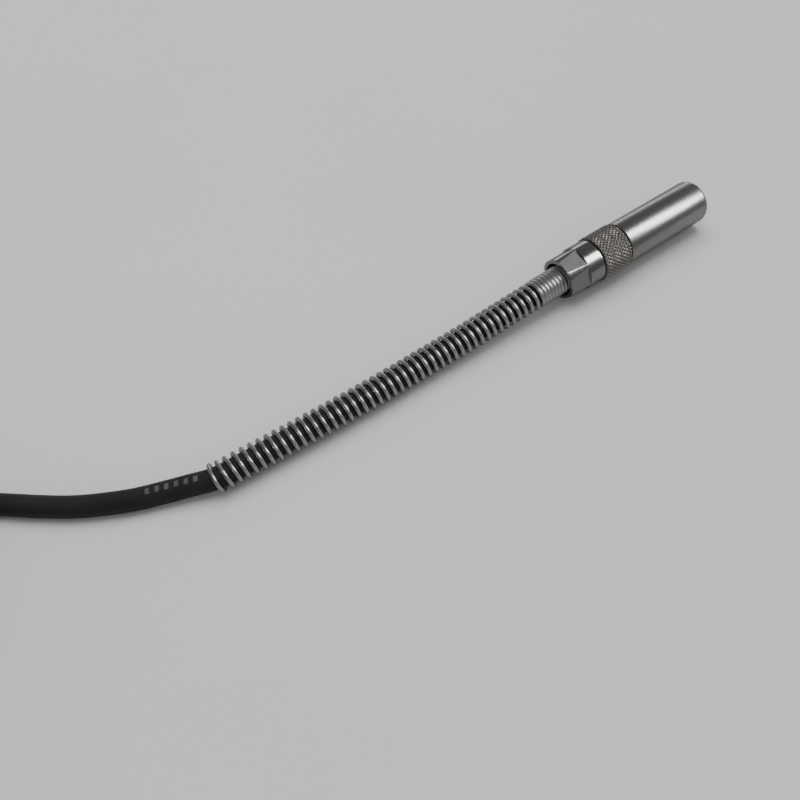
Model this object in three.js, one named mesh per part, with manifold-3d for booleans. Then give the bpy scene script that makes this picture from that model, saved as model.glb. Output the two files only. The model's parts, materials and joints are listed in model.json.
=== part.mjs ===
import * as THREE from "three";
import { mergeVertices } from "three/addons/utils/BufferGeometryUtils.js";
import Module from "manifold-3d";

// A cabled thermocouple probe, in millimetres, +Z up.
// The metal head lies along X with its tip towards +X, on the surface z = 0, and the origin is on
// that surface below the middle of the head. The lead leaves the head towards -X through a coil
// spring, lies on the surface and ends in a tied coil with a flat-pin plug on it.

const wasm = await Module();
wasm.setup();

// ---- Head: stations along the axis ----
const HEAD_LENGTH = 54.6;
const TIP_X = HEAD_LENGTH / 2;
const REAR_X = -TIP_X;
const FLATS_END_X = REAR_X + 6.95;
const BAND_END_X = REAR_X + 12.3;
const SPIGOT_END_X = -10.6;
const NUT_REAR_X = BAND_END_X + 0.3;
const NUT_FRONT_X = -4.5;
const BARREL_SHOULDER_X = NUT_FRONT_X + 0.3;
const NECK_END_X = -9.6;
const NUT_STEP_X = -7.2;
const GROMMET_SEAT_X = -16;
const SPRING_SEAT_X = -20.6;
const GROOVE_START_X = -8.7;
const GROOVE_END_X = -7.7;
const BORE_END_X = 25;
const SEAL_X = -10.1;

// ---- Head: radii ----
const KNURL_RADIUS = 7.1;
const BARREL_RADIUS = 6.75;
const BAND_RADIUS = 6.65;
const GLAND_REAR_RADIUS = 6.35;
const ACROSS_FLATS = 12;
const FLAT_TURN_DEG = -20;
const SPIGOT_RADIUS = 5.2;
const THREAD_CLEARANCE = 0.15;
const NECK_RADIUS = 4.75;
const GROOVE_RADIUS = 4.15;
const BARREL_BORE_RADIUS = 3.2;
const INSERT_BORE_RADIUS = 3.3;
const SPRING_BORE_RADIUS = 4.6;
const GROMMET_BORE_RADIUS = 4.3;
const MOUTH_RADIUS = 5;
const MOUTH_CHAMFER = 1.2;
const TIP_EDGE = 1.2;
const SMALL_EDGE = 0.3;
const AXIS_Z = KNURL_RADIUS;

// ---- Sensor inside the head ----
const CORE_RADIUS = 0.9;
const CORE_OFFSET = 1.6;
const CONDUCTOR_RADIUS = 0.4;
const BEAD_RADIUS = 2.3;
const BEAD_BORE_RADIUS = 0.8;
const BEAD_BORE_OFFSET = 1.1;
const BEAD_LENGTH = 5.8;
const BEAD_PITCH = 6;
const BEAD_COUNT = 4;
const FIRST_BEAD_X = -3.5;
const JUNCTION_X = 22.2;
const JUNCTION_RADIUS = 0.9;

// ---- Strain relief spring ----
const SPRING_START_X = -21.9;
const SPRING_RADIUS = 3.75;
const WIRE_RADIUS = 0.56;
const CLOSED_PITCH = 1.2;
const CLOSED_TURNS = 12;
const OPEN_TURNS = 45.25;
const OPEN_PITCH_NEAR = 2.2;
const OPEN_PITCH_FAR = 2.41;

// ---- Lead ----
const CABLE_RADIUS = 2.7;
const CABLE_START_X = -16.1;
const COIL_X = -243.3;
const COIL_Y = 24;
const COIL_ENTRY_DEG = 59;
const TRACK_RADIUS = 36;
const FIRST_LAYER_Z = 3.8;
const COIL_INNER_RADIUS = 21;
const COIL_OUTER_RADIUS = 39;
const COIL_BOTTOM_Z = 0.8;
const COIL_TOP_Z = 18.8;
const COIL_CORNER = 3;

// ---- Ties on the coil ----
const TIE_CLEARANCE = 0.15;
const TIE_THICKNESS = 0.65;
const TIE_WIDTH = 4;
const TIE_HEAD = 3.2;
const TIE_ANGLES_DEG = [90, 190];

// ---- Tail of the lead, above the coil ----
const TAIL_TRACK_RADIUS = 24;
const TAIL_BOTTOM_Z = 15.8;
const TAIL_DEG = 160;
const RISE_DEG = 100;
const SPREAD_DEG = 120;
const TAIL_LEAVES_COIL_DEG = 48;
const TAIL_BEND_SHARE = 0.85;

// ---- Plug on the coil ----
const PLUG_OFFSET = 29;
const PLUG_BOTTOM_Z = 19.1;
const PLUG_WIDTH = 16;
const PLUG_LENGTH = 20;
const PLUG_HEIGHT = 8;
const PLUG_REAR_Y = 8.9;
const PLUG_WALL = 1.2;
const PLUG_CORNER = 1.5;
const PARTING_GAP = 0.2;
const PARTING_Z = PLUG_BOTTOM_Z + PLUG_HEIGHT / 2;
const PIN_OFFSET = 4;
const PIN_THICKNESS = 0.8;
const PIN_REACH = 13;
const POSITIVE_PIN_WIDTH = 2.4;
const NEGATIVE_PIN_WIDTH = 3.2;
const PAD_WIDTH = 4.6;
const TERMINAL_Y = 21;
const COVER_SCREW_Y = 13.4;
const CLAMP_REAR_Y = 1.3;
const CLAMP_LENGTH = 7;
const CLAMP_WIDTH = 15;
const CLAMP_SCREW_OFFSET = 5.6;

// ---- Fineness and fits ----
const GAP = 0.3;
const TURNED_SEGMENTS = 36;
const SMALL_SEGMENTS = 16;
const WELD = 1e-4;

const steel = { color: 0xb9bab8, metalness: 1, roughness: 0.28 };
const knurledSteel = { color: 0x8d8983, metalness: 1, roughness: 0.4 };
const springSteel = { color: 0xc4c5c6, metalness: 1, roughness: 0.25 };
const jacket = { color: 0x1b1d1f, metalness: 0, roughness: 0.5 };
const rubber = { color: 0x141414, metalness: 0, roughness: 0.8 };
const ceramic = { color: 0xe9e3d3, metalness: 0, roughness: 0.6 };
const brass = { color: 0xb08d4a, metalness: 1, roughness: 0.35 };
const plugPlastic = { color: 0x202225, metalness: 0, roughness: 0.45 };
const nylon = { color: 0x2a2b2c, metalness: 0, roughness: 0.5 };
const whiteCore = { color: 0xe8e6df, metalness: 0, roughness: 0.5 };
const redCore = { color: 0xa32a22, metalness: 0, roughness: 0.5 };
const positiveAlloy = { color: 0x8b8a88, metalness: 1, roughness: 0.4 };
const negativeAlloy = { color: 0xa39a86, metalness: 1, roughness: 0.4 };

// ---- Helpers ----

function radians(degrees) {
  return (degrees * Math.PI) / 180;
}

function piece(name, geometry, finish) {
  const mesh = new THREE.Mesh(geometry, new THREE.MeshStandardMaterial(finish));
  mesh.name = name;
  return mesh;
}

// A closed geometry as a manifold solid, and back.
function solidOf(geometry) {
  const source = geometry.index ? geometry.toNonIndexed() : geometry;
  const bare = new THREE.BufferGeometry();
  bare.setAttribute("position", source.getAttribute("position"));
  const merged = mergeVertices(bare, WELD);
  const mesh = new wasm.Mesh({
    numProp: 3,
    vertProperties: merged.attributes.position.array,
    triVerts: new Uint32Array(merged.index.array),
  });
  return new wasm.Manifold(mesh);
}

function geometryOf(solid) {
  const mesh = solid.getMesh();
  const geometry = new THREE.BufferGeometry();
  geometry.setAttribute(
    "position",
    new THREE.BufferAttribute(new Float32Array(mesh.vertProperties), 3),
  );
  geometry.setIndex(new THREE.BufferAttribute(new Uint32Array(mesh.triVerts), 1));
  geometry.computeVertexNormals();
  return geometry;
}

// A solid of revolution about the Z axis, from [radius, z] pairs. The outline runs up the outside.
function turnedUp(outline, segments) {
  const points = outline.map(([r, z]) => new THREE.Vector2(r, z));
  return new THREE.LatheGeometry(points, segments).rotateX(Math.PI / 2);
}

// A solid of revolution about the X axis, from [x, radius] pairs. The outline runs towards +X
// on the outside.
function turned(outline, segments = TURNED_SEGMENTS) {
  const points = outline.map(([x, r]) => new THREE.Vector2(r, x));
  return new THREE.LatheGeometry(points, segments).rotateZ(-Math.PI / 2);
}

function ring(x0, x1, inner, outer, segments = TURNED_SEGMENTS) {
  const outline = [
    [x0, inner],
    [x0, outer],
    [x1, outer],
    [x1, inner],
    [x0, inner],
  ];
  return turned(outline, segments);
}

function circle(radius, sides) {
  const shape = new THREE.Shape();
  for (let i = 0; i < sides; i++) {
    const a = (2 * Math.PI * i) / sides;
    if (i === 0) shape.moveTo(radius, 0);
    else shape.lineTo(radius * Math.cos(a), radius * Math.sin(a));
  }
  shape.closePath();
  return shape;
}

function hole(x, y, radius) {
  const path = new THREE.Path();
  path.absarc(x, y, radius, 0, 2 * Math.PI, true);
  return path;
}

function tube(curve, radius, sides, steps) {
  return new THREE.ExtrudeGeometry(circle(radius, sides), { extrudePath: curve, steps });
}

function slab(shape, depth, curveSegments = 4) {
  return new THREE.ExtrudeGeometry(shape, { depth, curveSegments, bevelEnabled: false });
}

function roundedRectangle(x0, y0, x1, y1, r, target = new THREE.Shape()) {
  target.moveTo(x0 + r, y0);
  target.lineTo(x1 - r, y0);
  target.absarc(x1 - r, y0 + r, r, -Math.PI / 2, 0, false);
  target.lineTo(x1, y1 - r);
  target.absarc(x1 - r, y1 - r, r, 0, Math.PI / 2, false);
  target.lineTo(x0 + r, y1);
  target.absarc(x0 + r, y1 - r, r, Math.PI / 2, Math.PI, false);
  target.lineTo(x0, y0 + r);
  target.absarc(x0 + r, y0 + r, r, Math.PI, 1.5 * Math.PI, false);
  return target;
}

function box(x0, x1, y0, y1, z0, z1) {
  const geometry = new THREE.BoxGeometry(x1 - x0, y1 - y0, z1 - z0);
  return geometry.translate((x0 + x1) / 2, (y0 + y1) / 2, (z0 + z1) / 2);
}

// From 0 to 1 with level ends.
function ease(t) {
  return (1 - Math.cos(Math.PI * Math.min(Math.max(t, 0), 1))) / 2;
}

// A stretch of another curve, between two fractions of its length.
class Stretch extends THREE.Curve {
  constructor(path, start, end) {
    super();
    this.path = path;
    this.start = start;
    this.end = end;
  }
  getPoint(t) {
    return this.path.getPointAt(this.start + (this.end - this.start) * t);
  }
}

// ---- Head: gland, nut and barrel ----

function glandBody() {
  const turnedBlank = turned([
    [REAR_X, MOUTH_RADIUS],
    [REAR_X, GLAND_REAR_RADIUS],
    [FLATS_END_X, BAND_RADIUS],
    [BAND_END_X, BAND_RADIUS],
    [BAND_END_X, SPIGOT_RADIUS],
    [SPIGOT_END_X - SMALL_EDGE, SPIGOT_RADIUS],
    [SPIGOT_END_X, SPIGOT_RADIUS - SMALL_EDGE],
    [SPIGOT_END_X, INSERT_BORE_RADIUS],
    [GROMMET_SEAT_X, INSERT_BORE_RADIUS],
    [GROMMET_SEAT_X, GROMMET_BORE_RADIUS],
    [SPRING_SEAT_X, GROMMET_BORE_RADIUS],
    [SPRING_SEAT_X, SPRING_BORE_RADIUS],
    [REAR_X + MOUTH_CHAMFER, SPRING_BORE_RADIUS],
    [REAR_X, MOUTH_RADIUS],
  ]);
  const flatsStart = REAR_X - 1;
  const length = FLATS_END_X - flatsStart;
  const corner = ACROSS_FLATS / 2 / Math.cos(Math.PI / 6);
  const hexagon = new THREE.CylinderGeometry(corner, corner, length + 2, 6)
    .rotateZ(-Math.PI / 2)
    .rotateX(radians(FLAT_TURN_DEG))
    .translate(flatsStart + length / 2, 0, 0);
  const collar = new THREE.CylinderGeometry(9, 9, length, 24)
    .rotateZ(-Math.PI / 2)
    .translate(flatsStart + length / 2, 0, 0);
  const offcut = solidOf(collar).subtract(solidOf(hexagon));
  return geometryOf(solidOf(turnedBlank).subtract(offcut));
}

function couplingNut() {
  const bevel = 0.45;
  const threadBore = SPIGOT_RADIUS + THREAD_CLEARANCE;
  const frontBore = NECK_RADIUS + 0.2;
  return turned([
    [NUT_REAR_X, threadBore],
    [NUT_REAR_X, KNURL_RADIUS - bevel],
    [NUT_REAR_X + bevel, KNURL_RADIUS],
    [NUT_FRONT_X - bevel, KNURL_RADIUS],
    [NUT_FRONT_X, KNURL_RADIUS - bevel],
    [NUT_FRONT_X, frontBore],
    [NUT_STEP_X, frontBore],
    [NUT_STEP_X, threadBore],
    [NUT_REAR_X, threadBore],
  ]);
}

function probeBarrel() {
  const outline = [
    [NECK_END_X, BARREL_BORE_RADIUS],
    [NECK_END_X, NECK_RADIUS],
    [GROOVE_START_X, NECK_RADIUS],
    [GROOVE_START_X, GROOVE_RADIUS],
    [GROOVE_END_X, GROOVE_RADIUS],
    [GROOVE_END_X, NECK_RADIUS],
    [BARREL_SHOULDER_X, NECK_RADIUS],
    [BARREL_SHOULDER_X, BARREL_RADIUS - SMALL_EDGE],
    [BARREL_SHOULDER_X + SMALL_EDGE, BARREL_RADIUS],
  ];
  const arcSteps = 4;
  for (let i = 0; i <= arcSteps; i++) {
    const a = (Math.PI / 2) * (i / arcSteps);
    outline.push([
      TIP_X - TIP_EDGE + TIP_EDGE * Math.sin(a),
      BARREL_RADIUS - TIP_EDGE + TIP_EDGE * Math.cos(a),
    ]);
  }
  outline.push(
    [TIP_X, 0],
    [BORE_END_X, 0],
    [BORE_END_X, BARREL_BORE_RADIUS],
    [NECK_END_X, BARREL_BORE_RADIUS],
  );
  return turned(outline);
}

// A snap ring with a slot, in the neck's groove.
function retainingRing() {
  const halfSlot = radians(12);
  const inner = GROOVE_RADIUS + 0.2;
  const thickness = GROOVE_END_X - GROOVE_START_X - 0.2;
  const shape = new THREE.Shape();
  shape.absarc(0, 0, SPIGOT_RADIUS, halfSlot, 2 * Math.PI - halfSlot, false);
  shape.absarc(0, 0, inner, 2 * Math.PI - halfSlot, halfSlot, true);
  shape.closePath();
  return slab(shape, thickness, 20).rotateY(Math.PI / 2).translate(GROOVE_START_X + 0.1, 0, 0);
}

function barrelSeal() {
  return new THREE.TorusGeometry(4, 0.4, 8, 24).rotateY(Math.PI / 2).translate(SEAL_X, 0, 0);
}

// ---- Sensor: cores, splices, beads and junction. side is +1 for the positive leg ----

function core(side) {
  const path = new THREE.CatmullRomCurve3([
    new THREE.Vector3(-15.8, side * 1.25, 0),
    new THREE.Vector3(-13.6, side * 1.4, 0),
    new THREE.Vector3(-11.4, side * CORE_OFFSET, 0),
    new THREE.Vector3(-9.3, side * CORE_OFFSET, 0),
  ]);
  const insulation = solidOf(tube(path, CORE_RADIUS, 10, 5));
  const bareEnd = turned(
    [
      [-9.8, 0],
      [-9.8, CONDUCTOR_RADIUS],
      [-7.3, CONDUCTOR_RADIUS],
      [-7.3, 0],
    ],
    8,
  ).translate(0, side * CORE_OFFSET, 0);
  return geometryOf(insulation.add(solidOf(bareEnd)));
}

function spliceCrimp(side) {
  return ring(-8.8, -5.3, 0.55, 0.95, SMALL_SEGMENTS).translate(0, side * CORE_OFFSET, 0);
}

function spliceSleeve(side) {
  return ring(-9, -5.1, 1.15, 1.4, SMALL_SEGMENTS).translate(0, side * CORE_OFFSET, 0);
}

function thermoelement(side) {
  const path = new THREE.CatmullRomCurve3([
    new THREE.Vector3(-6.9, side * CORE_OFFSET, 0),
    new THREE.Vector3(-5.3, side * CORE_OFFSET, 0),
    new THREE.Vector3(FIRST_BEAD_X, side * BEAD_BORE_OFFSET, 0),
    new THREE.Vector3(8, side * BEAD_BORE_OFFSET, 0),
    new THREE.Vector3(19.8, side * BEAD_BORE_OFFSET, 0),
    new THREE.Vector3(20.9, side * 0.65, 0),
  ]);
  return tube(path, CONDUCTOR_RADIUS, 8, 26);
}

function ceramicBead(index) {
  const shape = circle(BEAD_RADIUS, 20);
  shape.holes.push(hole(0, BEAD_BORE_OFFSET, BEAD_BORE_RADIUS));
  shape.holes.push(hole(0, -BEAD_BORE_OFFSET, BEAD_BORE_RADIUS));
  const start = FIRST_BEAD_X + index * BEAD_PITCH;
  return slab(shape, BEAD_LENGTH, 5).rotateY(Math.PI / 2).translate(start, 0, 0);
}

function junctionBead() {
  return new THREE.SphereGeometry(JUNCTION_RADIUS, 14, 8).translate(JUNCTION_X, 0, 0);
}

function tipSlug() {
  const front = BORE_END_X - GAP;
  const rear = front - 1.1;
  const radius = BARREL_BORE_RADIUS - 0.2;
  const slug = [
    [rear, 0],
    [rear, radius],
    [front, radius],
    [front, 0],
  ];
  return turned(slug, 24);
}

function buildHead() {
  const head = new THREE.Group();
  head.position.z = AXIS_Z;
  head.add(piece("gland_body", glandBody(), steel));
  head.add(piece("coupling_nut", couplingNut(), knurledSteel));
  head.add(piece("probe_barrel", probeBarrel(), steel));
  head.add(piece("retaining_ring", retainingRing(), springSteel));
  head.add(piece("barrel_seal", barrelSeal(), rubber));
  const grommet = ring(SPRING_SEAT_X + GAP, GROMMET_SEAT_X - 0.4, 3.15, 4.15, 28);
  head.add(piece("cable_grommet", grommet, rubber));
  const washer = ring(SPRING_SEAT_X - 0.6, SPRING_SEAT_X - 0.1, 3.3, 4.5, 28);
  head.add(piece("grommet_washer", washer, steel));
  head.add(piece("tip_slug", tipSlug(), brass));
  head.add(piece("junction_bead", junctionBead(), negativeAlloy));
  for (let i = 0; i < BEAD_COUNT; i++) {
    head.add(piece(`ceramic_bead_${i + 1}`, ceramicBead(i), ceramic));
  }
  const legs = [
    ["positive", 1, whiteCore, positiveAlloy],
    ["negative", -1, redCore, negativeAlloy],
  ];
  for (const [pole, side, insulation, alloy] of legs) {
    head.add(piece(`core_${pole}`, core(side), insulation));
    head.add(piece(`splice_crimp_${pole}`, spliceCrimp(side), steel));
    head.add(piece(`splice_sleeve_${pole}`, spliceSleeve(side), insulation));
    head.add(piece(`thermoelement_${pole}`, thermoelement(side), alloy));
  }
  return head;
}

// ---- Lead: the route from the gland to the coil, chosen by hand ----

const coilEntry = radians(COIL_ENTRY_DEG);
const ROUTE = [
  [CABLE_START_X, 0, AXIS_Z],
  [-22, 0, 7.1],
  [-28, -0.1, 7.05],
  [-33.3, -0.1, 6.9],
  [-38.5, -0.1, 6.6],
  [-50.9, 0.1, 5.8],
  [-63, 0.2, 5.1],
  [-74.8, 0.5, 4.65],
  [-86.3, 0.6, 4.4],
  [-101, 0.9, 4.35],
  [-116.6, 1.5, 4.35],
  [-132.1, 2.3, 4.35],
  [-139.6, 2.8, 4.3],
  [-146.4, 5.4, 3.6],
  [-152.8, 7.9, 3.1],
  [-159.6, 10.5, 3],
  [-166.5, 13.9, 3],
  [-173.2, 17.8, 3],
  [-179.7, 22.5, 3],
  [-189.3, 30.2, 3],
  [-197.9, 36.8, 3.1],
  [-206.6, 43.2, 3.4],
  [-215.6, 49.2, 3.7],
  [
    COIL_X + TRACK_RADIUS * Math.cos(coilEntry),
    COIL_Y + TRACK_RADIUS * Math.sin(coilEntry),
    FIRST_LAYER_Z,
  ],
];

function leadRoute() {
  const points = ROUTE.map(([x, y, z]) => new THREE.Vector3(x, y, z));
  const route = new THREE.CatmullRomCurve3(points, false, "catmullrom", 0.5);
  route.arcLengthDivisions = 1200;
  return route;
}

// A right-handed helix round the route, close-wound at the gland and open beyond.
class SpringHelix extends THREE.Curve {
  constructor(route) {
    super();
    this.route = route;
    this.length = route.getLength();
    this.arcLengthDivisions = 5000;
  }
  distance(turns) {
    if (turns <= CLOSED_TURNS) return turns * CLOSED_PITCH;
    const growth = Math.log(OPEN_PITCH_FAR / OPEN_PITCH_NEAR) / OPEN_TURNS;
    const run = (Math.exp((turns - CLOSED_TURNS) * growth) - 1) / growth;
    return CLOSED_TURNS * CLOSED_PITCH + OPEN_PITCH_NEAR * run;
  }
  getPoint(t) {
    const turns = t * (CLOSED_TURNS + OPEN_TURNS);
    const along = CABLE_START_X - SPRING_START_X + this.distance(turns);
    const centre = this.route.getPointAt(along / this.length);
    const forward = this.route.getTangentAt(along / this.length);
    const up = new THREE.Vector3(0, 0, 1);
    up.addScaledVector(forward, -up.dot(forward)).normalize();
    const side = new THREE.Vector3().crossVectors(forward, up);
    const angle = 2 * Math.PI * turns;
    centre.addScaledVector(up, SPRING_RADIUS * Math.cos(angle));
    return centre.addScaledVector(side, SPRING_RADIUS * Math.sin(angle));
  }
}

function strainReliefSpring(route) {
  const stepsPerTurn = 8;
  const steps = stepsPerTurn * (CLOSED_TURNS + OPEN_TURNS);
  return tube(new SpringHelix(route), WIRE_RADIUS, 4, steps);
}

// ---- Coil, its ties and the tail on top ----

function coilOutline(grow) {
  const inner = COIL_INNER_RADIUS - grow;
  const outer = COIL_OUTER_RADIUS + grow;
  const low = COIL_BOTTOM_Z - grow;
  const high = COIL_TOP_Z + grow;
  const c = COIL_CORNER;
  const corners = [
    [inner + c, low + c, 180],
    [outer - c, low + c, 270],
    [outer - c, high - c, 0],
    [inner + c, high - c, 90],
  ];
  const outline = [];
  for (const [r, z, startDeg] of corners) {
    for (let i = 0; i <= 2; i++) {
      const a = radians(startDeg + 45 * i);
      outline.push([r + c * Math.cos(a), z + c * Math.sin(a)]);
    }
  }
  outline.push(outline[0]);
  return outline;
}

function coilRing(grow) {
  return turnedUp(coilOutline(grow), 40);
}

function coilTie() {
  const r0 = COIL_INNER_RADIUS - TIE_CLEARANCE;
  const r1 = COIL_OUTER_RADIUS + TIE_CLEARANCE;
  const z0 = COIL_BOTTOM_Z - TIE_CLEARANCE;
  const z1 = COIL_TOP_Z + TIE_CLEARANCE;
  const t = TIE_THICKNESS;
  const corner = COIL_CORNER - 0.6;
  const outside = roundedRectangle(r0 - t, z0 - t, r1 + t, z1 + t, corner + t);
  const inside = roundedRectangle(r0, z0, r1, z1, corner, new THREE.Path());
  outside.holes.push(inside);
  const loop = slab(outside, TIE_WIDTH).rotateX(Math.PI / 2).translate(0, TIE_WIDTH / 2, 0);
  const middle = (z0 + z1) / 2;
  const headBlock = box(
    r1 + 0.2,
    r1 + t + TIE_HEAD,
    -TIE_WIDTH / 2 - 0.6,
    TIE_WIDTH / 2 + 0.6,
    middle - 2.4,
    middle + 2.4,
  );
  return geometryOf(solidOf(loop).add(solidOf(headBlock)));
}

// The last part of the lead climbs out of the coil and runs into the plug.
class TailCurve extends THREE.Curve {
  getPoint(t) {
    const straight = PLUG_REAR_Y - GAP;
    const sweep = (TAIL_DEG - TAIL_LEAVES_COIL_DEG) * Math.min(t / TAIL_BEND_SHARE, 1);
    const degrees = TAIL_LEAVES_COIL_DEG + sweep;
    const spread = ease((degrees - (TAIL_DEG - SPREAD_DEG)) / SPREAD_DEG);
    const rise = ease(degrees / RISE_DEG);
    const radius = TAIL_TRACK_RADIUS + (PLUG_OFFSET - TAIL_TRACK_RADIUS) * spread;
    const angle = radians(degrees - TAIL_DEG);
    const z = TAIL_BOTTOM_Z + (PARTING_Z - TAIL_BOTTOM_Z) * rise;
    const ahead = Math.max((t - TAIL_BEND_SHARE) / (1 - TAIL_BEND_SHARE), 0);
    const y = radius * Math.sin(angle) + straight * ahead;
    return new THREE.Vector3(radius * Math.cos(angle), y, z);
  }
}

function cableTail() {
  const whole = solidOf(tube(new TailCurve(), CABLE_RADIUS, 12, 18));
  return geometryOf(whole.subtract(solidOf(coilRing(GAP))));
}

function cableRun(route) {
  const cover = 1 - 13 / route.getLength();
  const whole = solidOf(tube(new Stretch(route, 0, cover), CABLE_RADIUS, 12, 34));
  const clearOfCoil = coilRing(GAP).translate(COIL_X, COIL_Y, 0);
  return geometryOf(whole.subtract(solidOf(clearOfCoil)));
}

function buildCoil() {
  const coil = new THREE.Group();
  coil.position.set(COIL_X, COIL_Y, 0);
  coil.add(piece("cable_coil", coilRing(0), jacket));
  coil.add(piece("cable_tail", cableTail(), jacket));
  TIE_ANGLES_DEG.forEach((degrees, index) => {
    const tie = piece(`coil_tie_${index + 1}`, coilTie(), nylon);
    tie.rotation.z = radians(degrees);
    coil.add(tie);
  });
  return coil;
}

// ---- Plug: two shells, flat pins, their terminals and a cable clamp ----

function pin(side, width) {
  const front = PLUG_REAR_Y + PLUG_LENGTH + PIN_REACH;
  const padEnd = TERMINAL_Y + 3.2;
  const shape = new THREE.Shape();
  shape.moveTo(-PAD_WIDTH / 2, TERMINAL_Y - 3);
  shape.lineTo(PAD_WIDTH / 2, TERMINAL_Y - 3);
  shape.lineTo(PAD_WIDTH / 2, padEnd);
  shape.lineTo(width / 2, padEnd + 0.8);
  shape.lineTo(width / 2, front - 0.8);
  shape.lineTo(width / 2 - 0.8, front);
  shape.lineTo(-width / 2 + 0.8, front);
  shape.lineTo(-width / 2, front - 0.8);
  shape.lineTo(-width / 2, padEnd + 0.8);
  shape.lineTo(-PAD_WIDTH / 2, padEnd);
  shape.closePath();
  shape.holes.push(hole(0, TERMINAL_Y, 1.35));
  const bottom = PARTING_Z - PIN_THICKNESS / 2;
  return slab(shape, PIN_THICKNESS).translate(side * PIN_OFFSET, 0, bottom);
}

// Pan-head screw standing at (x, y), with its shank down from the underside of the head.
function screw(x, y, headZ, headRadius, headHeight, shankRadius, shankLength) {
  const outline = [
    [0, headZ - shankLength],
    [shankRadius, headZ - shankLength],
    [shankRadius, headZ],
    [headRadius, headZ],
    [headRadius, headZ + 0.6 * headHeight],
    [0.8 * headRadius, headZ + headHeight],
    [0, headZ + headHeight],
  ];
  const slotWidth = 0.28 * headRadius;
  const top = headZ + headHeight;
  const slot = box(-headRadius, headRadius, -slotWidth, slotWidth, top - 0.45 * headHeight, top + 1);
  const plain = solidOf(turnedUp(outline, SMALL_SEGMENTS));
  return geometryOf(plain.subtract(solidOf(slot))).translate(x, y, 0);
}

function shellBlank(z0, z1) {
  const rear = PLUG_REAR_Y;
  const outline = roundedRectangle(
    -PLUG_WIDTH / 2,
    rear,
    PLUG_WIDTH / 2,
    rear + PLUG_LENGTH,
    PLUG_CORNER,
  );
  return solidOf(slab(outline, z1 - z0).translate(0, 0, z0));
}

function shellPocket(z0, z1) {
  const half = PLUG_WIDTH / 2 - PLUG_WALL;
  const rear = PLUG_REAR_Y + PLUG_WALL;
  return solidOf(box(-half, half, rear, rear + PLUG_LENGTH - 2 * PLUG_WALL, z0, z1));
}

function pinSlots() {
  const front = PLUG_REAR_Y + PLUG_LENGTH;
  const half = PIN_THICKNESS / 2 + 0.15;
  const slots = [
    [1, POSITIVE_PIN_WIDTH],
    [-1, NEGATIVE_PIN_WIDTH],
  ].map(([side, width]) => {
    const x = side * PIN_OFFSET;
    const reach = width / 2 + 0.15;
    const rear = front - 2 * PLUG_WALL;
    return solidOf(box(x - reach, x + reach, rear, front + 1, PARTING_Z - half, PARTING_Z + half));
  });
  return slots[0].add(slots[1]);
}

// A cylinder on the cover screw's axis: the post round the screw, or a hole for it.
function shaft(radius, z0, z1) {
  const outline = [
    [0, z0],
    [radius, z0],
    [radius, z1],
    [0, z1],
  ];
  return solidOf(turnedUp(outline, SMALL_SEGMENTS).translate(0, COVER_SCREW_Y, 0));
}

function plugBase() {
  const top = PARTING_Z - PARTING_GAP / 2;
  const floor = PLUG_BOTTOM_Z + PLUG_WALL;
  const doorEnd = PLUG_REAR_Y + 2 * PLUG_WALL;
  const coreDoor = box(-1.6, 1.6, PLUG_REAR_Y - 1, doorEnd, top - 1.2, top + 1);
  const shell = shellBlank(PLUG_BOTTOM_Z, top).subtract(shellPocket(floor, top + 1));
  const posted = shell.add(shaft(2.4, floor - 0.1, top)).subtract(shaft(1.25, floor, top + 1));
  return geometryOf(posted.subtract(pinSlots()).subtract(solidOf(coreDoor)));
}

function plugCover() {
  const bottom = PARTING_Z + PARTING_GAP / 2;
  const top = PLUG_BOTTOM_Z + PLUG_HEIGHT;
  const ceiling = top - PLUG_WALL;
  const shell = shellBlank(bottom, top).subtract(shellPocket(bottom - 1, ceiling));
  const posted = shell.add(shaft(2.4, bottom, ceiling + 0.1));
  const drilled = posted.subtract(shaft(1.4, bottom - 1, top + 1));
  return geometryOf(drilled.subtract(pinSlots()).subtract(shaft(2.5, top - 1.1, top + 1)));
}

function clampJaw(z0, z1) {
  const outline = roundedRectangle(
    -CLAMP_WIDTH / 2,
    CLAMP_REAR_Y,
    CLAMP_WIDTH / 2,
    CLAMP_REAR_Y + CLAMP_LENGTH,
    1,
  );
  const middle = CLAMP_REAR_Y + CLAMP_LENGTH / 2;
  outline.holes.push(hole(CLAMP_SCREW_OFFSET, middle, 1));
  outline.holes.push(hole(-CLAMP_SCREW_OFFSET, middle, 1));
  const jaw = solidOf(slab(outline, z1 - z0).translate(0, 0, z0));
  const groove = new THREE.CylinderGeometry(3.1, 3.1, CLAMP_LENGTH + 2, 20);
  return geometryOf(jaw.subtract(solidOf(groove.translate(0, middle, PARTING_Z))));
}

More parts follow.
